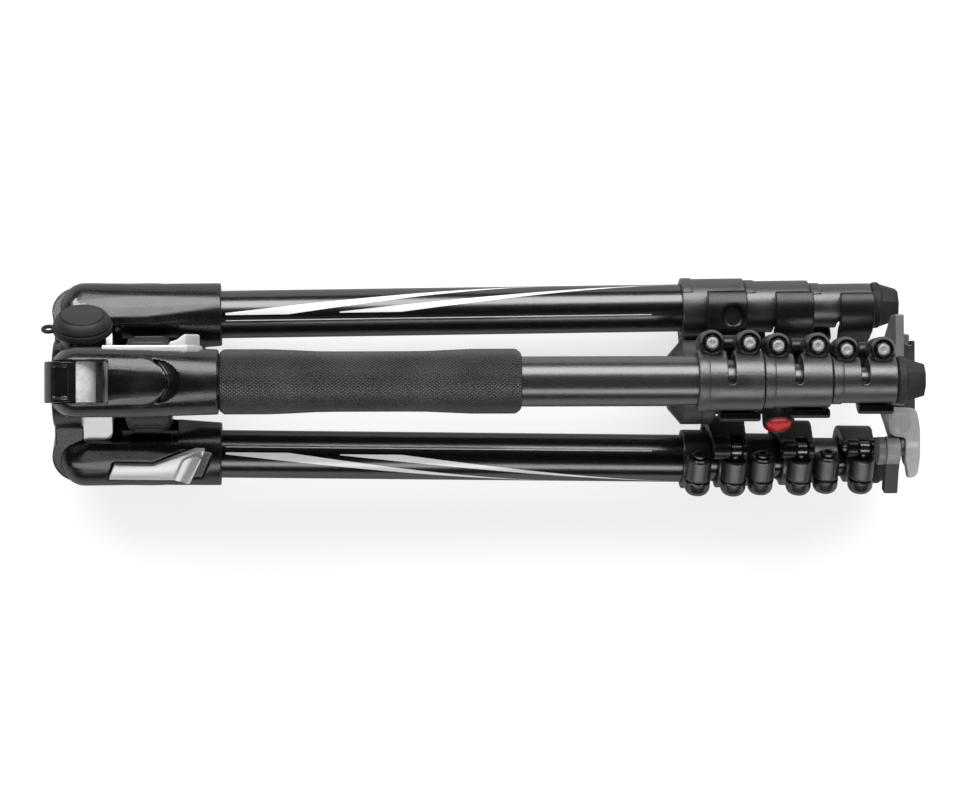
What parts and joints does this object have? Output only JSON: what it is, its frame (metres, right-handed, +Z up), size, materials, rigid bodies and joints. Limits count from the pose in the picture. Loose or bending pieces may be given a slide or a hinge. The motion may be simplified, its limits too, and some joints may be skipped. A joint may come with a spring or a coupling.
{
  "type": "travel tripod",
  "caption": "Folded travel tripod with telescopic lever-lock legs, a sliding centre column, a ball head and a quick-release plate.",
  "frame": {"origin": "under the middle of the folded tripod, on the surface that it lies on", "axes": "+X runs along the centre column towards the head, +Z is up towards the leg with the grip, and +Y is to the left of the column"},
  "size_m": [0.4102, 0.104, 0.1],
  "materials": {
    "black_casting": "satin powder coat",
    "black_tube": "gloss black anodised, pale stripes on two legs",
    "bare_aluminium": "satin bare metal",
    "head_metal": "satin powder coat",
    "ball_metal": "smooth anodised",
    "grey_lever": "matte grey paint",
    "dark_steel": "satin steel",
    "lock_plastic": "satin moulded",
    "black_plastic": "satin moulded",
    "ring_plastic": "satin moulded, fluted",
    "liner_plastic": "smooth bearing plastic",
    "black_rubber": "matte ribbed",
    "grey_rubber": "matte",
    "grip_rubber": "matte, fine diamond texture",
    "red_badge": "gloss, plain"
  },
  "bodies": {
    "spider": {"spider": "black_casting", "stop_blocks": "bare_aluminium", "lug_pads": "black_rubber", "hinge_pins": "dark_steel"},
    "column": {"column_tube": "black_tube", "column_foot": "black_plastic", "head_base": "head_metal"},
    "lock_ring": {"column_lock_ring": "ring_plastic"},
    "port_cap": {"accessory_cap": "grey_rubber"},
    "head": {"ball_housing": "head_metal"},
    "ball_lock": {"ball_knob": "black_plastic", "knob_badge": "red_badge"},
    "pan_lock": {"pan_knob": "black_plastic"},
    "liner": {"ball_liner": "liner_plastic"},
    "ball": {"ball_stem": "ball_metal", "release_clamp": "head_metal"},
    "release_lever": {"release_lever": "grey_lever"},
    "safety_catch": {"safety_catch": "black_plastic"},
    "camera_plate": {"camera_plate": "head_metal"},
    "camera_screw": {"camera_screw": "dark_steel"},
    "leg_a": {"leg_a_yoke": "black_casting", "leg_a_tube_1": "black_tube", "leg_a_lock_1": "lock_plastic", "leg_a_grip": "grip_rubber"},
    "leg_a_selector": {"leg_a_angle_selector": "bare_aluminium"},
    "leg_a_lever_1": {"leg_a_lever_1": "black_plastic"},
    "leg_a_section_2": {"leg_a_tube_2": "black_tube", "leg_a_lock_2": "lock_plastic"},
    "leg_a_lever_2": {"leg_a_lever_2": "black_plastic"},
    "leg_a_section_3": {"leg_a_tube_3": "black_tube", "leg_a_lock_3": "lock_plastic"},
    "leg_a_lever_3": {"leg_a_lever_3": "black_plastic"},
    "leg_a_section_4": {"leg_a_tube_4": "black_tube", "leg_a_foot": "black_rubber"},
    "leg_b": {"leg_b_yoke": "black_casting", "leg_b_tube_1": "black_tube", "leg_b_lock_1": "lock_plastic"},
    "leg_b_selector": {"leg_b_angle_selector": "bare_aluminium"},
    "leg_b_lever_1": {"leg_b_lever_1": "black_plastic"},
    "leg_b_section_2": {"leg_b_tube_2": "black_tube", "leg_b_lock_2": "lock_plastic"},
    "leg_b_lever_2": {"leg_b_lever_2": "black_plastic"},
    "leg_b_section_3": {"leg_b_tube_3": "black_tube", "leg_b_lock_3": "lock_plastic"},
    "leg_b_lever_3": {"leg_b_lever_3": "black_plastic"},
    "leg_b_section_4": {"leg_b_tube_4": "black_tube", "leg_b_foot": "black_rubber"},
    "leg_c": {"leg_c_yoke": "black_casting", "leg_c_tube_1": "black_tube", "leg_c_lock_1": "lock_plastic"},
    "leg_c_selector": {"leg_c_angle_selector": "bare_aluminium"},
    "leg_c_lever_1": {"leg_c_lever_1": "black_plastic"},
    "leg_c_section_2": {"leg_c_tube_2": "black_tube", "leg_c_lock_2": "lock_plastic"},
    "leg_c_lever_2": {"leg_c_lever_2": "black_plastic"},
    "leg_c_section_3": {"leg_c_tube_3": "black_tube", "leg_c_lock_3": "lock_plastic"},
    "leg_c_lever_3": {"leg_c_lever_3": "black_plastic"},
    "leg_c_section_4": {"leg_c_tube_4": "black_tube", "leg_c_foot": "black_rubber"}
  },
  "joints": [
    {"name": "column_slide", "type": "slide", "parent": "spider", "child": "column", "axis": [-1, 0, 0], "range_m": [0, 0.23]},
    {"name": "lock_ring_turn", "type": "hinge", "parent": "spider", "child": "lock_ring", "pos_m": [-0.1541, 0.00208, 0.04447], "axis": [1, 0, 0], "range_deg": [0, 90]},
    {"name": "port_cap_pull", "type": "slide", "parent": "spider", "child": "port_cap", "axis": [0, 0.866, 0.5], "range_m": [0, 0.014]},
    {"name": "head_pan", "type": "hinge", "parent": "column", "child": "head", "pos_m": [0.0859, 0.00208, 0.04447], "axis": [1, 0, 0], "range_deg": [-12, 12]},
    {"name": "ball_lock_turn", "type": "hinge", "parent": "head", "child": "ball_lock", "pos_m": [0.1355, 0.00208, 0.04447], "axis": [0, -0.866, 0.5], "range_deg": [0, 180]},
    {"name": "pan_lock_turn", "type": "hinge", "parent": "head", "child": "pan_lock", "pos_m": [0.1038, 0.00208, 0.04447], "axis": [0, 0, -1], "range_deg": [0, 180]},
    {"name": "ball_swing", "type": "hinge", "parent": "head", "child": "liner", "pos_m": [0.1398, 0.00208, 0.04447], "axis": [0, 0, 1], "range_deg": [-4, 4]},
    {"name": "ball_tilt", "type": "hinge", "parent": "liner", "child": "ball", "pos_m": [0.1398, 0.00208, 0.04447], "axis": [0, 1, 0], "range_deg": [-4, 4]},
    {"name": "release_lever_swing", "type": "hinge", "parent": "ball", "child": "release_lever", "pos_m": [0.1897, -0.03032, 0.06147], "axis": [1, 0, 0], "range_deg": [0, 90]},
    {"name": "safety_catch_press", "type": "hinge", "parent": "ball", "child": "safety_catch", "pos_m": [0.1897, -0.03032, 0.06147], "axis": [1, 0, 0], "range_deg": [0, 12], "stiffness_Nm_per_rad": 0.05, "springref_deg": -5.73},
    {"name": "camera_plate_slide", "type": "slide", "parent": "ball", "child": "camera_plate", "axis": [0, 0, -1], "range_m": [0, 0.024]},
    {"name": "camera_screw_turn", "type": "hinge", "parent": "camera_plate", "child": "camera_screw", "pos_m": [0.1897, 0.00208, 0.04447], "axis": [1, 0, 0], "continuous": true},
    {"name": "leg_a_fold", "type": "hinge", "parent": "spider", "child": "leg_a", "pos_m": [-0.1887, 0.00208, 0.07907], "axis": [0, -1, 0], "range_deg": [0, 178]},
    {"name": "leg_a_selector_slide", "type": "slide", "parent": "leg_a", "child": "leg_a_selector", "axis": [0.9999, 0, 0.0157], "range_m": [0, 0.004], "stiffness_N_per_m": 250, "springref_m": -0.002},
    {"name": "leg_a_lever_1_open", "type": "hinge", "parent": "leg_a", "child": "leg_a_lever_1", "pos_m": [0.11786, 0.01908, 0.07159], "axis": [0.9999, 0, 0.0157], "range_deg": [0, 9]},
    {"name": "leg_a_section_2_slide", "type": "slide", "parent": "leg_a", "child": "leg_a_section_2", "axis": [0.9999, 0, 0.0157], "range_m": [0, 0.268]},
    {"name": "leg_a_lever_2_open", "type": "hinge", "parent": "leg_a_section_2", "child": "leg_a_lever_2", "pos_m": [0.14915, 0.01768, 0.07208], "axis": [0.9999, 0, 0.0157], "range_deg": [0, 12]},
    {"name": "leg_a_section_3_slide", "type": "slide", "parent": "leg_a_section_2", "child": "leg_a_section_3", "axis": [0.9999, 0, 0.0157], "range_m": [0, 0.268]},
    {"name": "leg_a_lever_3_open", "type": "hinge", "parent": "leg_a_section_3", "child": "leg_a_lever_3", "pos_m": [0.17905, 0.01588, 0.07255], "axis": [0.9999, 0, 0.0157], "range_deg": [0, 45]},
    {"name": "leg_a_section_4_slide", "type": "slide", "parent": "leg_a_section_3", "child": "leg_a_section_4", "axis": [0.9999, 0, 0.0157], "range_m": [0, 0.268]},
    {"name": "leg_b_fold", "type": "hinge", "parent": "spider", "child": "leg_b", "pos_m": [-0.1887, 0.03204, 0.02717], "axis": [0, 0.5, 0.866], "range_deg": [0, 178]},
    {"name": "leg_b_selector_slide", "type": "slide", "parent": "leg_b", "child": "leg_b_selector", "axis": [0.9999, 0.0136, -0.0079], "range_m": [0, 0.004], "stiffness_N_per_m": 250, "springref_m": -0.002},
    {"name": "leg_b_lever_1_open", "type": "hinge", "parent": "leg_b", "child": "leg_b_lever_1", "pos_m": [0.11786, 0.01706, 0.0162], "axis": [0.9999, 0.0136, -0.0079], "range_deg": [0, 9]},
    {"name": "leg_b_section_2_slide", "type": "slide", "parent": "leg_b", "child": "leg_b_section_2", "axis": [0.9999, 0.0136, -0.0079], "range_m": [0, 0.268]},
    {"name": "leg_b_lever_2_open", "type": "hinge", "parent": "leg_b_section_2", "child": "leg_b_lever_2", "pos_m": [0.14915, 0.01818, 0.01716], "axis": [0.9999, 0.0136, -0.0079], "range_deg": [0, 12]},
    {"name": "leg_b_section_3_slide", "type": "slide", "parent": "leg_b_section_2", "child": "leg_b_section_3", "axis": [0.9999, 0.0136, -0.0079], "range_m": [0, 0.268]},
    {"name": "leg_b_lever_3_open", "type": "hinge", "parent": "leg_b_section_3", "child": "leg_b_lever_3", "pos_m": [0.17905, 0.01949, 0.01849], "axis": [0.9999, 0.0136, -0.0079], "range_deg": [0, 45]},
    {"name": "leg_b_section_4_slide", "type": "slide", "parent": "leg_b_section_3", "child": "leg_b_section_4", "axis": [0.9999, 0.0136, -0.0079], "range_m": [0, 0.268]},
    {"name": "leg_c_fold", "type": "hinge", "parent": "spider", "child": "leg_c", "pos_m": [-0.1887, -0.02789, 0.02717], "axis": [0, 0.5, -0.866], "range_deg": [0, 178]},
    {"name": "leg_c_selector_slide", "type": "slide", "parent": "leg_c", "child": "leg_c_selector", "axis": [0.9999, -0.0136, -0.0079], "range_m": [0, 0.004], "stiffness_N_per_m": 250, "springref_m": -0.002},
    {"name": "leg_c_lever_1_open", "type": "hinge", "parent": "leg_c", "child": "leg_c_lever_1", "pos_m": [0.11786, -0.02991, 0.04564], "axis": [0.9999, -0.0136, -0.0079], "range_deg": [0, 9]},
    {"name": "leg_c_section_2_slide", "type": "slide", "parent": "leg_c", "child": "leg_c_section_2", "axis": [0.9999, -0.0136, -0.0079], "range_m": [0, 0.268]},
    {"name": "leg_c_lever_2_open", "type": "hinge", "parent": "leg_c_section_2", "child": "leg_c_lever_2", "pos_m": [0.14915, -0.02963, 0.04418], "axis": [0.9999, -0.0136, -0.0079], "range_deg": [0, 12]},
    {"name": "leg_c_section_3_slide", "type": "slide", "parent": "leg_c_section_2", "child": "leg_c_section_3", "axis": [0.9999, -0.0136, -0.0079], "range_m": [0, 0.268]},
    {"name": "leg_c_lever_3_open", "type": "hinge", "parent": "leg_c_section_3", "child": "leg_c_lever_3", "pos_m": [0.17905, -0.02914, 0.04239], "axis": [0.9999, -0.0136, -0.0079], "range_deg": [0, 45]},
    {"name": "leg_c_section_4_slide", "type": "slide", "parent": "leg_c_section_3", "child": "leg_c_section_4", "axis": [0.9999, -0.0136, -0.0079], "range_m": [0, 0.268]}
  ]
}
